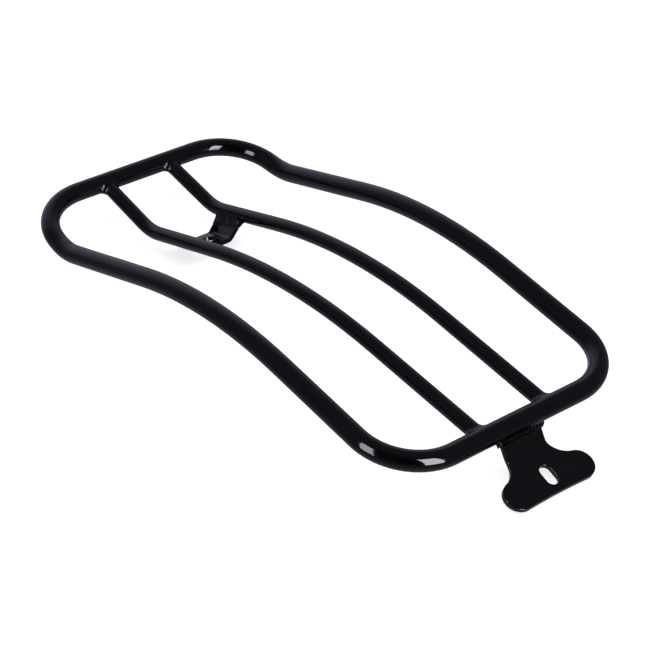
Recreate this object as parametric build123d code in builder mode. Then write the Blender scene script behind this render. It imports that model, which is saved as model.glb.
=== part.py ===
"""Welded solo-seat luggage rack: a bent tube hoop, two inner rails, a slotted rear tab and a slotted
front bridge, with every weld bead as its own piece. Millimetres, +Z up, +Y towards the seat.
The origin is on the surface the rack stands on, under the middle of its outline."""

from build123d import *
from math import atan2, cos, radians, sin, sqrt, tan
import os

# ---- Tubes and plate ----
HOOP_D = 12.7
HOOP_WALL = 1.6
RAIL_D = 9.5
RAIL_WALL = 1.5
PLATE_T = 3.0
SEAM_GAP = 1.2

# ---- Hoop: spacing and drop of its crossbars, then the shape of its sides ----
BAR_SPACING = 381.2
FRONT_BAR_DROP = 4.9
HOOP_HALF_WIDTH = 87.2
FRONT_CORNER_INSET = 2.0
HOOP_SPLAY = 5.2
HOOP_DIP = 9.85
HOOP_CLIMB = 15.05
HOOP_FALL = 9.35
CREST_FLARE = 0.5
FRONT_STRAIGHT = 1.6
FRONT_BEND_R = 40.8
KINK_BEND_R = 51.0
CREST_BEND_R = 321.0
REAR_BEND_R = 37.9

# ---- Inner rails ----
RAIL_X_FRONT = 25.9
RAIL_X_KINK = 26.3
RAIL_X_CREST = 27.0
RAIL_X_REAR = 25.5
RAIL_SINK_SHARE = 0.6875
RAIL_FRONT_LEG = 56.3
RAIL_DIP = 12.6
RAIL_CLIMB = 15.4
RAIL_FALL = 7.8
RAIL_KINK_R = 38.4
RAIL_CREST_R = 400.0

# ---- Rear tab: a neck that falls steeply from the rear bar, then a flat foot with two lobes, a
# slightly hollow end and a slot that is not quite in the middle ----
NECK_ANGLE = 58.5
FOOT_ANGLE = 21.7
NECK_REACH = 18.5
TAB_BEND_R = 6.9
NECK_HALF_WIDTH = 15.1
NECK_FILLET = 14.2
LOBE_X = 23.8
LOBE_R = 9.5
LOBE_FROM_BEND = 20.7
TAB_END_HOLLOW = 0.6
TAB_SLOT_WIDTH = 8.0
TAB_SLOT_LENGTH = 13.7
TAB_SLOT_FROM_BEND = 18.05
TAB_SLOT_X = 1.7

# ---- Front bridge: a U-shaped plate across the rails, square to them ----
BRIDGE_WIDTH = 25.0
BRIDGE_FLAT_HALF = 12.6
BRIDGE_BEND_R = 4.0
BRIDGE_SLOT_WIDTH = 10.0
BRIDGE_SLOT_LENGTH = 17.5

# ---- Welds: the radius of each bead's hollow face, and its run past the plate's edge ----
RAIL_WELD_R = 4.5
TAB_WELD_R = 4.0
BRIDGE_WELD_R = 18.0
UNDER_WELD_R = 8.0
TAB_WELD_OVERRUN = 3.0
BRIDGE_WELD_OVERRUN = 1.5
WELD_BITE = 0.05

hoop_r = HOOP_D / 2
rail_r = RAIL_D / 2
X_AXIS = Vector(1, 0, 0)


def rearward(angle):
    """Unit vector in the side view, pointing rearwards and this many degrees below level."""
    return Vector(0, -cos(radians(angle)), -sin(radians(angle)))


def upper_normal(angle):
    """Unit normal on the upper side of a face that falls rearwards at this angle."""
    return Vector(0, -sin(radians(angle)), cos(radians(angle)))


def crest_of(kink, rear, climb, fall):
    """Where the line climbing rearwards from the kink meets the line rising forwards from the rear."""
    climb_rate = tan(radians(climb))
    fall_rate = tan(radians(fall))
    run = kink.Y - rear.Y
    ahead = (kink.Z - rear.Z + run * climb_rate) / (fall_rate + climb_rate)
    return Vector(0, rear.Y + ahead, rear.Z + ahead * fall_rate)


def mirrored(point):
    return Vector(-point.X, point.Y, point.Z)


# ---- The tab's side view fixes the height of the rear bar: its foot's end stands on z = 0 ----
neck_run = rearward(NECK_ANGLE) * NECK_REACH
tab_run = neck_run + rearward(FOOT_ANGLE) * (LOBE_FROM_BEND + LOBE_R)
tab_sole = tab_run - upper_normal(FOOT_ANGLE) * PLATE_T
rear_bar = Vector(0, (-tab_run.Y - BAR_SPACING - hoop_r) / 2, -tab_sole.Z)
front_bar = rear_bar + Vector(0, BAR_SPACING, -FRONT_BAR_DROP)

# ---- Hoop centreline corners on the right side, front to rear ----
leg_way = rearward(HOOP_DIP) * cos(radians(HOOP_SPLAY)) + X_AXIS * sin(radians(HOOP_SPLAY))
kink_turn = leg_way.get_angle(rearward(-HOOP_CLIMB))
front_leg = FRONT_BEND_R * tan(radians(90 - HOOP_SPLAY) / 2) + FRONT_STRAIGHT
front_leg += KINK_BEND_R * tan(radians(kink_turn) / 2)
front_corner = front_bar + X_AXIS * (HOOP_HALF_WIDTH - FRONT_CORNER_INSET)
hoop_kink = front_corner + leg_way * front_leg
hoop_crest = crest_of(hoop_kink, rear_bar, HOOP_CLIMB, HOOP_FALL)
hoop_crest += X_AXIS * (HOOP_HALF_WIDTH + CREST_FLARE)
rear_corner = rear_bar + X_AXIS * HOOP_HALF_WIDTH
hoop_side = [rear_corner, hoop_crest, hoop_kink, front_corner]
hoop_radii = [REAR_BEND_R, CREST_BEND_R, KINK_BEND_R, FRONT_BEND_R]
seam_end = rear_bar + X_AXIS * (SEAM_GAP / 2)

# ---- Rail centreline corners on the right side, front to rear: each end sits low on its crossbar,
# by this share of the difference in radius, so that the rail stays within the bar's height ----
sink = Vector(0, 0, -RAIL_SINK_SHARE * (hoop_r - rail_r))
rail_kink = front_bar + sink + rearward(RAIL_DIP) * RAIL_FRONT_LEG
rail_crest = crest_of(rail_kink, rear_bar + sink, RAIL_CLIMB, RAIL_FALL)
rail_front = front_bar + sink + X_AXIS * RAIL_X_FRONT
rail_rear = rear_bar + sink + X_AXIS * RAIL_X_REAR
rail_kink += X_AXIS * RAIL_X_KINK
rail_crest += X_AXIS * RAIL_X_CREST
rail_corners = [rail_front, rail_kink, rail_crest, rail_rear]

# ---- The bridge starts where the rail's kink ends, and its front lower edge stands on z = 0 ----
rail_way = (rail_crest - rail_kink).normalized()
bridge_rail = rail_kink + rail_way * (RAIL_KINK_R * tan(radians(RAIL_DIP + RAIL_CLIMB) / 2))
bridge_front = Vector(0, bridge_rail.Y, bridge_rail.Z)
bridge_plane = Plane(bridge_front, x_dir=X_AXIS, z_dir=rearward(-RAIL_CLIMB))
bridge_depth = bridge_front.Z / cos(radians(RAIL_CLIMB)) - PLATE_T / 2
leg_angle = atan2(bridge_depth, bridge_rail.X - BRIDGE_FLAT_HALF)


def tube_section(radius, wall):
    """Ring section of a tube, drawn in the sketch that is open."""
    Circle(radius)
    Circle(radius - wall, mode=Mode.SUBTRACT)


def write(part, name):
    part.label = name
    export_step(part, f"parts/{name}.step")


os.makedirs("parts", exist_ok=True)

# ---- Hoop: one tube bent all the way round, its ends meeting at the middle of the rear bar ----
hoop_points = [seam_end, *hoop_side]
hoop_points += [mirrored(p) for p in reversed(hoop_points)]
with BuildPart() as hoop_tube:
    with BuildLine() as hoop_line:
        FilletPolyline(*hoop_points, radius=hoop_radii + hoop_radii[::-1])
    with BuildSketch(Plane(seam_end, z_dir=X_AXIS)):
        tube_section(hoop_r, HOOP_WALL)
    sweep(path=hoop_line.wires()[0])
write(hoop_tube.part, "hoop_tube")

# ---- Seam weld: closes the hoop between its two ends, ground flush ----
with BuildPart() as hoop_seam_weld:
    with BuildSketch(Plane(mirrored(seam_end), z_dir=X_AXIS)):
        tube_section(hoop_r, HOOP_WALL)
    extrude(amount=SEAM_GAP)
write(hoop_seam_weld.part, "hoop_seam_weld")

# ---- Inner rails: one tube each, its ends shaped to sit on the crossbars ----
with BuildPart() as rail_right:
    with BuildLine() as rail_line:
        FilletPolyline(*rail_corners, radius=[RAIL_KINK_R, RAIL_CREST_R])
    with BuildSketch(Plane(rail_front, z_dir=rail_kink - rail_front)):
        tube_section(rail_r, RAIL_WALL)
    sweep(path=rail_line.wires()[0])
    with Locations(front_bar, rear_bar):
        Cylinder(hoop_r, 2 * HOOP_HALF_WIDTH, rotation=(0, 90, 0), mode=Mode.SUBTRACT)
write(rail_right.part, "rail_right")

with BuildPart() as rail_left:
    mirror(rail_right.part, about=Plane.YZ)
write(rail_left.part, "rail_left")


def saddle_bead(bar, rail_end, rail_next):
    """Fillet weld all round the end of a rail, where it meets a crossbar."""
    bar_plane = Plane(bar + X_AXIS * rail_end.X, z_dir=X_AXIS)
    rail_plane = Plane(rail_end, z_dir=rail_next - rail_end)
    stub = rail_r + 2 * RAIL_WELD_R
    from_end = (Align.CENTER, Align.CENTER, Align.MIN)
    with BuildPart() as bead:
        for mode in (Mode.ADD, Mode.SUBTRACT):
            with Locations(bar_plane):
                Cylinder(hoop_r, 2 * stub, mode=mode)
            with Locations(rail_plane):
                Cylinder(rail_r, hoop_r + stub, align=from_end, mode=mode)
            if mode == Mode.ADD:
                meeting = bead.edges().filter_by(GeomType.CIRCLE, reverse=True)
                fillet(meeting.filter_by(GeomType.LINE, reverse=True), RAIL_WELD_R)
    return bead.part


# ---- Welds at the four rail ends ----
front_bead = saddle_bead(front_bar, rail_front, rail_kink)
rear_bead = saddle_bead(rear_bar, rail_rear, rail_crest)
for end, bead in (("front", front_bead), ("rear", rear_bead)):
    write(bead, f"rail_weld_{end}_right")
    write(bead.mirror(Plane.YZ), f"rail_weld_{end}_left")

# ---- Rear tab: bent strip, trimmed to its outline, slotted, and shaped to sit on the bar ----
neck_top = rearward(NECK_ANGLE) * (hoop_r / 2)
half_plate = PLATE_T / 2
strip_points = [
    rear_bar + neck_top - upper_normal(NECK_ANGLE) * half_plate,
    rear_bar + neck_run,
    rear_bar + tab_run - upper_normal(FOOT_ANGLE) * half_plate,
]
bend_half = radians(NECK_ANGLE - FOOT_ANGLE) / 2
bend_bisector = upper_normal((NECK_ANGLE + FOOT_ANGLE) / 2)
strip_points[1] -= bend_bisector * (half_plate / cos(bend_half))
foot_plane = Plane(rear_bar + neck_run, x_dir=X_AXIS, z_dir=upper_normal(FOOT_ANGLE))
lobe_y = -LOBE_FROM_BEND
tab_end_y = lobe_y - LOBE_R
fillet_x = NECK_HALF_WIDTH + NECK_FILLET
fillet_y = lobe_y + sqrt((NECK_FILLET + LOBE_R) ** 2 - (fillet_x - LOBE_X) ** 2)
lobe_centre = Vector(LOBE_X, lobe_y)
fillet_centre = Vector(fillet_x, fillet_y)
lobe_touch = lobe_centre + (fillet_centre - lobe_centre).normalized() * LOBE_R
fillet_start = Vector(NECK_HALF_WIDTH, fillet_y)
fillet_way = (lobe_touch + fillet_start) * 0.5 - fillet_centre
fillet_middle = fillet_centre + fillet_way.normalized() * NECK_FILLET
with BuildPart() as rear_tab:
    with BuildSketch(Plane.YZ):
        with BuildLine():
            FilletPolyline(*[(p.Y, p.Z) for p in strip_points], radius=TAB_BEND_R + half_plate)
        trace(line_width=PLATE_T)
    extrude(amount=LOBE_X + LOBE_R, both=True)
    with BuildSketch(foot_plane) as tab_outline:
        with BuildLine() as tab_edge:
            Polyline((0, NECK_REACH), (NECK_HALF_WIDTH, NECK_REACH), fillet_start)
            ThreePointArc(fillet_start, fillet_middle, lobe_touch)
            ThreePointArc(lobe_touch, (LOBE_X + LOBE_R, lobe_y), (LOBE_X, tab_end_y))
            mirror(about=Plane.YZ)
            ThreePointArc((LOBE_X, tab_end_y), (0, tab_end_y + TAB_END_HOLLOW), (-LOBE_X, tab_end_y))
        make_face()
    extrude(amount=NECK_REACH, both=True, mode=Mode.INTERSECT)
    with BuildSketch(foot_plane):
        with Locations((TAB_SLOT_X, -TAB_SLOT_FROM_BEND)):
            SlotOverall(TAB_SLOT_LENGTH, TAB_SLOT_WIDTH, rotation=90)
    extrude(amount=PLATE_T + 1, both=True, mode=Mode.SUBTRACT)
    with Locations(rear_bar):
        Cylinder(hoop_r, 2 * HOOP_HALF_WIDTH, rotation=(0, 90, 0), mode=Mode.SUBTRACT)
write(rear_tab.part, "rear_tab")

# ---- Front bridge: bent strip across both rails, slotted, its ends shaped to sit on them ----
bridge_points = [
    (bridge_rail.X, 0),
    (BRIDGE_FLAT_HALF, -bridge_depth),
    (-BRIDGE_FLAT_HALF, -bridge_depth),
    (-bridge_rail.X, 0),
]
with BuildPart() as front_bridge:
    with BuildSketch(bridge_plane):
        with BuildLine():
            FilletPolyline(*bridge_points, radius=BRIDGE_BEND_R + half_plate)
        trace(line_width=PLATE_T)
    extrude(amount=BRIDGE_WIDTH)
    slot_centre = bridge_front + rearward(-RAIL_CLIMB) * (BRIDGE_WIDTH / 2)
    with BuildSketch(Plane(slot_centre, x_dir=X_AXIS, z_dir=-bridge_plane.y_dir)):
        SlotOverall(BRIDGE_SLOT_LENGTH, BRIDGE_SLOT_WIDTH)
    extrude(amount=bridge_depth + PLATE_T, mode=Mode.SUBTRACT)
    for rail_point, way in ((bridge_rail, rail_way), (mirrored(bridge_rail), mirrored(rail_way))):
        with Locations(Plane(rail_point, z_dir=way)):
            Cylinder(rail_r, 3 * BRIDGE_WIDTH, mode=Mode.SUBTRACT)
write(front_bridge.part, "front_bridge")


def fillet_bead(section_plane, face_height, tube_plane, tube_radius, weld_radius, length):
    """Weld with a hollow face, between a flat face this high above the section's x axis and a tube
    that passes through its origin."""
    lift = face_height + weld_radius
    bite_radius = tube_radius - WELD_BITE
    reach = sqrt((bite_radius + weld_radius) ** 2 - lift**2)
    centre = Vector(reach, lift)
    toe = Vector(reach, face_height)
    touch = centre * (bite_radius / (bite_radius + weld_radius))
    face_middle = centre + ((toe + touch) * 0.5 - centre).normalized() * weld_radius
    with BuildPart() as bead:
        with BuildSketch(section_plane):
            with BuildLine():
                Polyline(touch, (0, face_height), toe)
                ThreePointArc(toe, face_middle, touch)
            make_face()
        extrude(amount=length)
        with Locations(tube_plane):
            Cylinder(tube_radius, 4 * length, mode=Mode.SUBTRACT)
    return bead.part


# ---- Tab welds: above and below the neck, along the rear bar ----
tab_bead = 2 * (NECK_HALF_WIDTH + TAB_WELD_OVERRUN)
neck_way = rearward(NECK_ANGLE)
upper_plane = Plane(rear_bar + X_AXIS * (tab_bead / 2), x_dir=neck_way, z_dir=-X_AXIS)
lower_plane = Plane(rear_bar - X_AXIS * (tab_bead / 2), x_dir=neck_way, z_dir=X_AXIS)
bar_plane = Plane(rear_bar, z_dir=X_AXIS)
tab_bead_upper = fillet_bead(upper_plane, 0, bar_plane, hoop_r, TAB_WELD_R, tab_bead)
tab_bead_lower = fillet_bead(lower_plane, PLATE_T, bar_plane, hoop_r, TAB_WELD_R, tab_bead)
write(tab_bead_upper, "tab_weld_upper")
write(tab_bead_lower, "tab_weld_lower")

# ---- Bridge welds: above and below each leg, along the rail ----
bridge_bead = BRIDGE_WIDTH + 2 * BRIDGE_WELD_OVERRUN
bridge_way = bridge_plane.z_dir
bead_front = bridge_rail - bridge_way * BRIDGE_WELD_OVERRUN
bead_rear = bead_front + bridge_way * bridge_bead
rail_plane = Plane(bridge_rail, z_dir=rail_way)
leg_down = bridge_plane.x_dir * -cos(leg_angle) - bridge_plane.y_dir * sin(leg_angle)
inner_plane = Plane(bead_rear, x_dir=leg_down, z_dir=-bridge_way)
under_plane = Plane(bead_front, x_dir=leg_down, z_dir=bridge_way)
inner_bead = fillet_bead(inner_plane, half_plate, rail_plane, rail_r, BRIDGE_WELD_R, bridge_bead)
under_bead = fillet_bead(under_plane, half_plate, rail_plane, rail_r, UNDER_WELD_R, bridge_bead)
for place, bead in (("inner", inner_bead), ("under", under_bead)):
    write(bead, f"bridge_weld_{place}_right")
    write(bead.mirror(Plane.YZ), f"bridge_weld_{place}_left")
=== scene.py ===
"""Look of the welded luggage rack: gloss black paint over tube, plate and rippled weld beads."""

import math

import bmesh
import bpy
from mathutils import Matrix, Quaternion, Vector, noise


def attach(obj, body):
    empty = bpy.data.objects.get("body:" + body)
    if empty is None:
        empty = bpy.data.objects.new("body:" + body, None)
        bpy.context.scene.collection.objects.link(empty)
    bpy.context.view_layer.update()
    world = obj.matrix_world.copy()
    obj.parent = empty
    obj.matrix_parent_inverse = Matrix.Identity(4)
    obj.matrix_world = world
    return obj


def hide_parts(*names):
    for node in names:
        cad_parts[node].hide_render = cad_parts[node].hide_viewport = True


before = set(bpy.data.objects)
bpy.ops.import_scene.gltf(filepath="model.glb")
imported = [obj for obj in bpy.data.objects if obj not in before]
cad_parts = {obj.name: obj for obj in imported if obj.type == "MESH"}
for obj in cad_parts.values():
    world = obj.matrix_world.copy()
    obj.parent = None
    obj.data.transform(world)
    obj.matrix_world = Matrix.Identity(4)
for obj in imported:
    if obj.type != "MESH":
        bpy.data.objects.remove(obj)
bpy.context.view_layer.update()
MM = 0.001

# ---- Where the tubes and plates lie, as the CAD has them (metres) ----
HOOP_R = 6.35 * MM
RAIL_R = 4.75 * MM
PLATE_T = 3.0 * MM
TOUCH_GAP = 0.3 * MM
REAR_BAR = Vector((0, -174.912, 29.728)) * MM
FRONT_BAR = Vector((0, 206.288, 24.828)) * MM
FRONT_RAIL_END = Vector((25.9, 206.288, 23.728)) * MM
FRONT_RAIL_WAY = Vector((0.0071, -0.97589, -0.21814))
REAR_RAIL_END = Vector((25.5, -174.912, 28.628)) * MM
REAR_RAIL_WAY = Vector((0.00843, 0.99071, 0.13571))
NECK_ANGLE = math.radians(58.5)
NECK_WAY = Vector((0, -math.cos(NECK_ANGLE), -math.sin(NECK_ANGLE)))
NECK_UP = Vector((0, -math.sin(NECK_ANGLE), math.cos(NECK_ANGLE)))
NECK_BEAD_HALF = 18.1 * MM
BRIDGE_RAIL = Vector((26.34307, 142.11356, 13.98859)) * MM
BRIDGE_WAY = Vector((0, -0.9641, 0.26556))
BRIDGE_UP = Vector((0, 0.26556, 0.9641))
RAIL_WAY = Vector((0.0045, -0.96409, 0.26555))
LEG_ANGLE = 0.75799
BRIDGE_BEAD_LENGTH = 26.4 * MM
BRIDGE_BEAD_OVERRUN = 0.7 * MM
X_AXIS = Vector((1, 0, 0))

# ---- Radii of the beads' hollow faces, as the CAD has them ----
SADDLE_R = 4.5 * MM
TAB_WELD_R = 4.0 * MM
BRIDGE_INNER_R = 18.0 * MM
BRIDGE_UNDER_R = 8.0 * MM

# ---- Bead mesh: faces across, ripple spacing, steps along each ripple ----
ACROSS = 14
RIPPLE_PITCH = 1.7 * MM
STEPS_PER_RIPPLE = 8
LEAST_STEPS = 24
RIPPLE_RISE = 0.8


# ---- Materials ----
class Nodes:
    """Small helper for building a node tree."""

    def __init__(self, tree):
        self.tree = tree

    def add(self, kind, **values):
        node = self.tree.nodes.new(kind)
        for name, value in values.items():
            if hasattr(node, name):
                setattr(node, name, value)
            else:
                node.inputs[name].default_value = value
        return node

    def link(self, source, node, socket):
        self.tree.links.new(source, node.inputs[socket])


def noise_band(nodes, place, scale, low, high):
    """Noise in object space, spread over low to high."""
    texture = nodes.add("ShaderNodeTexNoise", Scale=scale, Detail=3.0)
    nodes.link(place, texture, "Vector")
    spread = nodes.add("ShaderNodeMapRange")
    spread.inputs["From Min"].default_value = 0.3
    spread.inputs["From Max"].default_value = 0.7
    spread.inputs["To Min"].default_value = low
    spread.inputs["To Max"].default_value = high
    nodes.link(texture.outputs["Fac"], spread, "Value")
    return spread.outputs["Result"]


# The mix node's colour sockets.
COLOUR_A, COLOUR_B, COLOUR_RESULT = 6, 7, 2


def paint(name, dark, light, rough_low, rough_high, peel, grain):
    """Black paint: a faint mottle, roughness that drifts, then orange peel and a fine grain, in metres."""
    material = bpy.data.materials.new(name)
    material.use_nodes = True
    nodes = Nodes(material.node_tree)
    material.node_tree.nodes.clear()
    out = nodes.add("ShaderNodeOutputMaterial")
    shader = nodes.add("ShaderNodeBsdfPrincipled")
    shader.inputs["IOR"].default_value = 1.5
    shader.inputs["Metallic"].default_value = 0.0
    nodes.link(shader.outputs["BSDF"], out, "Surface")
    place = nodes.add("ShaderNodeTexCoord").outputs["Object"]

    mottle = noise_band(nodes, place, 160.0, 0.0, 1.0)
    colour = nodes.add("ShaderNodeMix")
    colour.data_type = "RGBA"
    colour.inputs[COLOUR_A].default_value = dark
    colour.inputs[COLOUR_B].default_value = light
    nodes.link(mottle, colour, 0)
    nodes.link(colour.outputs[COLOUR_RESULT], shader, "Base Color")

    nodes.link(noise_band(nodes, place, 60.0, rough_low, rough_high), shader, "Roughness")

    coarse = nodes.add("ShaderNodeTexNoise", Scale=420.0, Detail=1.5)
    nodes.link(place, coarse, "Vector")
    fine = nodes.add("ShaderNodeTexNoise", Scale=2600.0, Detail=2.0)
    nodes.link(place, fine, "Vector")
    grain_bump = nodes.add("ShaderNodeBump", Strength=1.0, Distance=grain)
    nodes.link(fine.outputs["Fac"], grain_bump, "Height")
    peel_bump = nodes.add("ShaderNodeBump", Strength=1.0, Distance=peel)
    nodes.link(coarse.outputs["Fac"], peel_bump, "Height")
    nodes.link(grain_bump.outputs["Normal"], peel_bump, "Normal")
    nodes.link(peel_bump.outputs["Normal"], shader, "Normal")
    return material


gloss = paint(
    "gloss_black_paint", dark=(0.0003, 0.0003, 0.0004, 1), light=(0.0007, 0.0007, 0.0009, 1),
    rough_low=0.05, rough_high=0.1, peel=1.6e-5, grain=1.2e-6,
)
weld_paint = paint(
    "weld_paint", dark=(0.0004, 0.0004, 0.0005, 1), light=(0.001, 0.001, 0.0013, 1),
    rough_low=0.08, rough_high=0.16, peel=2.6e-5, grain=2.5e-6,
)

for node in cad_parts.values():
    for slot in node.material_slots:
        slot.material = weld_paint if "weld" in node.name else gloss


# ---- Pieces ----
def add_piece(mesh, name, node, material):
    """Shows this mesh in place of a CAD node."""
    piece = bpy.data.objects.new(name, mesh)
    bpy.context.scene.collection.objects.link(piece)
    mesh.materials.append(material)
    for face in mesh.polygons:
        face.use_smooth = True
    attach(piece, "root")
    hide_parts(node)


def eased_plate(node, flat, clear_of_tube):
    """The CAD plate with a small flat along its cut edges. Edges at the tubes stay as they are."""
    form = bmesh.new()
    form.from_mesh(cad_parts[node].data)
    bmesh.ops.remove_doubles(form, verts=form.verts, dist=1e-7)
    bmesh.ops.dissolve_limit(form, angle_limit=math.radians(0.3), verts=form.verts, edges=form.edges)
    sharp = []
    for edge in form.edges:
        ends_clear = all(clear_of_tube(v.co) for v in edge.verts)
        if len(edge.link_faces) == 2 and ends_clear and edge.calc_face_angle() > math.radians(40):
            sharp.append(edge)
    bmesh.ops.bevel(
        form, geom=sharp, offset=flat, offset_type="OFFSET", segments=1, profile=0.5, affect="EDGES",
        clamp_overlap=True,
    )
    mesh = bpy.data.meshes.new(node + "_painted")
    form.to_mesh(mesh)
    form.free()
    add_piece(mesh, node + "_painted", node, gloss)
    mesh.set_sharp_from_angle(angle=math.radians(30))


def off_rear_bar(point):
    return math.hypot(point.y - REAR_BAR.y, point.z - REAR_BAR.z) > HOOP_R + TOUCH_GAP


def off_rails(point):
    start = Vector((math.copysign(BRIDGE_RAIL.x, point.x), BRIDGE_RAIL.y, BRIDGE_RAIL.z))
    way = Vector((math.copysign(RAIL_WAY.x, point.x), RAIL_WAY.y, RAIL_WAY.z))
    return (point - start).cross(way).length > RAIL_R + TOUCH_GAP


eased_plate("rear_tab", 0.6 * MM, off_rear_bar)
eased_plate("front_bridge", 0.5 * MM, off_rails)


# ---- Weld beads ----
def bead(
    node, stations, closed, skirt_depth, ripple, lump, crown, pitch,
    lump_scale=110, taper=0.0, end_height=1.0, stacked=False,
):
    """A weld bead through stations of (fillet centre, toe on the tube, toe on the other face, root). Its face
    follows the fillet's arc and stands proud of it by a crown, ripples and slow lumps. An open bead's ends
    fall to a share of its height. Stacked ripples slope one way, like tipped coins."""
    middles = [(toe_a + toe_b) / 2 for _, toe_a, toe_b, _ in stations]
    travelled = [0.0]
    for last, middle in zip(middles, middles[1:]):
        travelled.append(travelled[-1] + (middle - last).length)
    length = travelled[-1] + ((middles[0] - middles[-1]).length if closed else 0.0)
    ripples = round(length / pitch)
    form = bmesh.new()
    loops = []
    for (centre, toe_a, toe_b, root), along in zip(stations, travelled):
        turn = along / length
        reach_a, reach_b = toe_a - centre, toe_b - centre
        radius = reach_a.length
        angle = reach_a.angle(reach_b)
        loop = []
        for j in range(ACROSS + 1):
            w = j / ACROSS
            way = (reach_a * math.sin((1 - w) * angle) + reach_b * math.sin(w * angle)) / math.sin(angle)
            way.normalize()
            belly = math.sin(math.pi * w)
            bow = 0.45 * (2 * w - 1) ** 2
            phase = (turn * ripples + bow) % 1
            if stacked and phase < RIPPLE_RISE:
                wave = 1 - phase / RIPPLE_RISE
            elif stacked:
                wave = (phase - RIPPLE_RISE) / (1 - RIPPLE_RISE)
            else:
                wave = 1 - abs(math.sin(math.pi * phase))
            slow = noise.noise((toe_a + toe_b) * lump_scale)
            rise = crown * belly + (lump * slow - ripple * wave ** 1.5) * belly ** 0.7
            point = centre + way * (radius - rise)
            if not closed:
                near_end = min(along, length - along)
                end = math.sqrt(max(0.0, 1 - (1 - min(1.0, near_end / taper)) ** 2))
                point = root + (point - root) * (end_height + (1 - end_height) * end)
            loop.append(form.verts.new(point))
        if skirt_depth is not None:
            loop.append(form.verts.new(toe_b + skirt_depth))
            loop.append(form.verts.new(root + skirt_depth))
        loop.append(form.verts.new(root))
        loops.append(loop)
    count = len(loops)
    for k in range(count if closed else count - 1):
        a, b = loops[k], loops[(k + 1) % count]
        for j in range(len(a)):
            i = (j + 1) % len(a)
            form.faces.new((a[j], a[i], b[i], b[j]))
    if not closed:
        form.faces.new(loops[0][::-1])
        form.faces.new(loops[-1])
    bmesh.ops.recalc_face_normals(form, faces=form.faces)
    mesh = bpy.data.meshes.new(node + "_bead")
    form.to_mesh(mesh)
    form.free()
    add_piece(mesh, node + "_bead", node, weld_paint)
    mesh.set_sharp_from_angle(angle=math.radians(50))


def saddle_stations(bar, start, way, radius, count):
    """Stations all round a rail's end, where a ball of the weld's radius would touch both tubes."""
    side = way.cross(X_AXIS).normalized()
    cross = way.cross(side).normalized()
    stations = []
    for k in range(count):
        angle = 2 * math.pi * k / count
        out = side * math.cos(angle) + cross * math.sin(angle)

        def to_cylinder(distance, reach):
            """How far along the rail's way a line this far off its axis meets this reach from the bar."""
            base = start + out * distance - bar
            base.x = 0.0
            flat = Vector((0, way.y, way.z))
            a = flat.length_squared
            b = base.dot(flat)
            c = base.length_squared - reach ** 2
            return (-b + math.sqrt(max(0.0, b * b - a * c))) / a

        off_axis = RAIL_R + radius
        centre = start + out * off_axis + way * to_cylinder(off_axis, HOOP_R + radius)
        toe_rail = centre - out * radius
        from_bar = Vector((0, centre.y - bar.y, centre.z - bar.z)).normalized()
        toe_bar = centre - from_bar * radius
        root = start + out * RAIL_R + way * to_cylinder(RAIL_R, HOOP_R)
        stations.append((centre, toe_rail, toe_bar, root))
    return stations


def mirrored(vector):
    return Vector((-vector.x, vector.y, vector.z))


def flat_stations(start, run, length, out, normal, tube_radius, face_height, radius, count):
    """Stations along a tube, between the tube and a flat face this high over the line out of its axis."""
    lift = face_height + radius
    reach = math.sqrt((tube_radius + radius) ** 2 - lift ** 2)
    share = tube_radius / (tube_radius + radius)
    stations = []
    for k in range(count + 1):
        origin = start + run * (length * k / count)
        centre = origin + out * reach + normal * lift
        toe_face = origin + out * reach + normal * face_height
        toe_tube = origin + (centre - origin) * share
        root = origin + out * math.sqrt(tube_radius ** 2 - face_height ** 2) + normal * face_height
        stations.append((centre, toe_tube, toe_face, root))
    return stations


def steps(length):
    return max(LEAST_STEPS, round(length / RIPPLE_PITCH * STEPS_PER_RIPPLE))


# ---- Rail end welds ----
SADDLE_STEPS = steps(2 * math.pi * (RAIL_R + 1.5 * MM))
for end, bar, rail_end, rail_way in (
    ("front", FRONT_BAR, FRONT_RAIL_END, FRONT_RAIL_WAY),
    ("rear", REAR_BAR, REAR_RAIL_END, REAR_RAIL_WAY),
):
    for side, turned in (("right", Vector), ("left", mirrored)):
        node = f"rail_weld_{end}_{side}"
        ring = saddle_stations(bar, turned(rail_end), turned(rail_way), SADDLE_R, SADDLE_STEPS)
        bead(
            node, ring, True, None, ripple=0.2 * MM, lump=0.4 * MM, crown=0.2 * MM, pitch=2.0 * MM,
            lump_scale=90,
        )

# ---- Tab welds ----
for place, face_height, normal in (("upper", 0.0, NECK_UP), ("lower", PLATE_T, -NECK_UP)):
    start = REAR_BAR - X_AXIS * NECK_BEAD_HALF
    line = flat_stations(
        start, X_AXIS, 2 * NECK_BEAD_HALF, NECK_WAY, normal, HOOP_R, face_height, TAB_WELD_R,
        steps(2 * NECK_BEAD_HALF),
    )
    bead(
        "tab_weld_" + place, line, False, normal * (-PLATE_T / 2), ripple=0.4 * MM, lump=0.35 * MM,
        crown=0.9 * MM, pitch=2.6 * MM, taper=3.0 * MM, end_height=0.12, stacked=True,
    )

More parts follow.
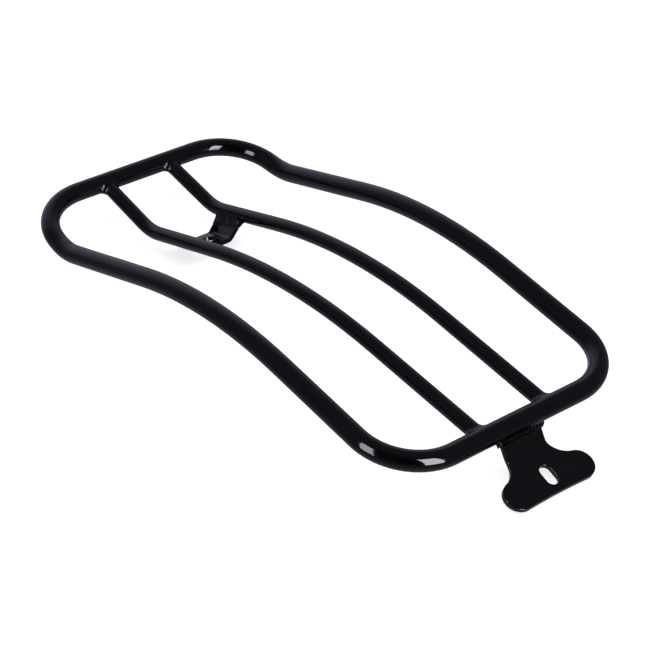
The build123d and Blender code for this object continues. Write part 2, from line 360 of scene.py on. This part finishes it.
# ---- Bridge welds ----
leg_down = X_AXIS * -math.cos(LEG_ANGLE) - BRIDGE_UP * math.sin(LEG_ANGLE)
leg_face = X_AXIS * -math.sin(LEG_ANGLE) + BRIDGE_UP * math.cos(LEG_ANGLE)
for place, normal, radius in (("inner", leg_face, BRIDGE_INNER_R), ("under", -leg_face, BRIDGE_UNDER_R)):
    for side, turned in (("right", Vector), ("left", mirrored)):
        start = BRIDGE_RAIL - BRIDGE_WAY * BRIDGE_BEAD_OVERRUN
        line = flat_stations(
            turned(start), BRIDGE_WAY, BRIDGE_BEAD_LENGTH, turned(leg_down), turned(normal), RAIL_R, PLATE_T / 2,
            radius, steps(BRIDGE_BEAD_LENGTH),
        )
        bead(
            f"bridge_weld_{place}_{side}", line, False, turned(normal) * (-PLATE_T / 2), ripple=0.12 * MM,
            lump=0.25 * MM, crown=0.15 * MM, pitch=RIPPLE_PITCH, taper=0.6 * MM, end_height=0.9,
        )


# ---- Studio: a pale cove, soft light from above, two soft boxes that show in the paint ----
def cove():
    """Floor that turns up into a wall all round, seen by the camera but not in the paint. Part of its white is
    its own glow, so that the part's shadow is faint."""
    flat, bend, top = 3.0, 1.6, 3.4
    profile = [(1.0, 0.0), (2.0, 0.0), (flat, 0.0)]
    for a in range(5, 91, 5):
        turn = math.radians(a)
        profile.append((flat + bend * math.sin(turn), bend * (1 - math.cos(turn))))
    profile.append((flat + bend, top))
    around = 96
    form = bmesh.new()
    rings = []
    for reach, height in profile:
        ring = []
        for k in range(around):
            a = 2 * math.pi * k / around
            ring.append(form.verts.new((reach * math.cos(a), reach * math.sin(a), height)))
        rings.append(ring)
    middle = form.verts.new((0, 0, 0))
    for k in range(around):
        form.faces.new((middle, rings[0][k], rings[0][(k + 1) % around]))
    for low, high in zip(rings, rings[1:]):
        for k in range(around):
            n = (k + 1) % around
            form.faces.new((low[k], high[k], high[n], low[n]))
    bmesh.ops.recalc_face_normals(form, faces=form.faces)
    mesh = bpy.data.meshes.new("studio_cove")
    form.to_mesh(mesh)
    form.free()
    for face in mesh.polygons:
        face.use_smooth = True
    material = bpy.data.materials.new("pale_floor")
    material.use_nodes = True
    shader = material.node_tree.nodes["Principled BSDF"]
    shader.inputs["Base Color"].default_value = (0.25, 0.25, 0.25, 1)
    shader.inputs["Emission Color"].default_value = (1, 1, 1, 1)
    shader.inputs["Emission Strength"].default_value = 0.8
    shader.inputs["Roughness"].default_value = 0.9
    shader.inputs["Specular IOR Level"].default_value = 0.0
    mesh.materials.append(material)
    floor = bpy.data.objects.new("studio_cove", mesh)
    bpy.context.scene.collection.objects.link(floor)
    floor.location.z = -0.2 * MM
    floor.visible_glossy = False


cove()


def area_light(name, place, target, width, height, radiance, colour):
    """Area light with this brightness across its face, on the scale where the picture's white is 1."""
    data = bpy.data.lights.new(name, "AREA")
    data.shape = "RECTANGLE"
    data.size = width
    data.size_y = height
    data.energy = radiance * 4 * width * height
    data.color = colour
    light = bpy.data.objects.new(name, data)
    light.location = place
    light.rotation_mode = "QUATERNION"
    light.rotation_quaternion = (Vector(target) - Vector(place)).to_track_quat("-Z", "Y")
    bpy.context.scene.collection.objects.link(light)
    light.visible_camera = False
    return light


left_box = area_light(
    "left_soft_box", (-1.287, -0.104, 0.62), (0, 0, 0.62), width=0.44, height=1.45, radiance=5.5,
    colour=(1.0, 0.99, 1.09),
)
rear_box = area_light(
    "rear_soft_box", (-0.084, -1.378, 0.64), (0, 0, 0.64), width=0.56, height=1.55, radiance=9.0,
    colour=(1.0, 0.98, 1.1),
)
for box in (left_box, rear_box):
    box.visible_diffuse = False
top_light = area_light(
    "overhead_soft_light", (0, 0, 3.0), (0, 0, 0), width=4.0, height=4.0, radiance=2.8, colour=(1, 1, 1)
)
top_light.visible_glossy = False

world = bpy.data.worlds.new("studio")
bpy.context.scene.world = world
world.use_nodes = True
nodes = Nodes(world.node_tree)
world.node_tree.nodes.clear()
direction = nodes.add("ShaderNodeTexCoord").outputs["Generated"]


def towards(azimuth, elevation):
    a, e = math.radians(azimuth), math.radians(elevation)
    return (math.sin(a) * math.cos(e), math.cos(a) * math.cos(e), math.sin(e))


def glow(azimuth, elevation, spread, strength):
    """Brighter or darker patch of the surroundings, round this direction."""
    dot = nodes.add("ShaderNodeVectorMath", operation="DOT_PRODUCT")
    nodes.link(direction, dot, 0)
    dot.inputs[1].default_value = towards(azimuth, elevation)
    ramp = nodes.add("ShaderNodeMapRange", interpolation_type="SMOOTHSTEP")
    ramp.inputs["From Min"].default_value = math.cos(math.radians(spread))
    ramp.inputs["From Max"].default_value = 1.0
    ramp.inputs["To Min"].default_value = 0.0
    ramp.inputs["To Max"].default_value = strength
    nodes.link(dot.outputs["Value"], ramp, "Value")
    return ramp.outputs["Result"]


# Brightness of the surroundings, then patches of (azimuth, elevation, spread, strength): the far side is
# brighter, the camera's side darker, and light comes up from below.
SURROUNDINGS = 0.125
PATCHES = ((20, 8, 55, 0.3), (-140, 30, 60, -0.1), (0, -90, 80, 0.18))
total = None
for patch in PATCHES:
    add = nodes.add("ShaderNodeMath", operation="ADD")
    nodes.link(glow(*patch), add, 0)
    if total is None:
        add.inputs[1].default_value = SURROUNDINGS
    else:
        nodes.link(total, add, 1)
    total = add.outputs[0]
background = nodes.add("ShaderNodeBackground", Color=(0.98, 0.97, 1.22, 1))
nodes.link(total, background, "Strength")
world_out = nodes.add("ShaderNodeOutputWorld")
nodes.link(background.outputs[0], world_out, "Surface")

# ---- Camera at the photograph's viewpoint ----
camera_data = bpy.data.cameras.new("camera")
camera_data.sensor_width = 36.0
camera_data.lens = 108.598
camera_data.clip_start = 0.05
camera_data.clip_end = 30.0
camera = bpy.data.objects.new("camera", camera_data)
camera.location = (-0.658179, -0.799744, 0.683766)
VIEW_WAY = Vector((0.53215, 0.64499, -0.54846))
ROLL = math.radians(-1.05)
camera.rotation_mode = "QUATERNION"
camera.rotation_quaternion = Quaternion(VIEW_WAY, ROLL) @ VIEW_WAY.to_track_quat("-Z", "Y")
bpy.context.scene.collection.objects.link(camera)
bpy.context.scene.camera = camera

bpy.context.scene.view_settings.view_transform = "Standard"
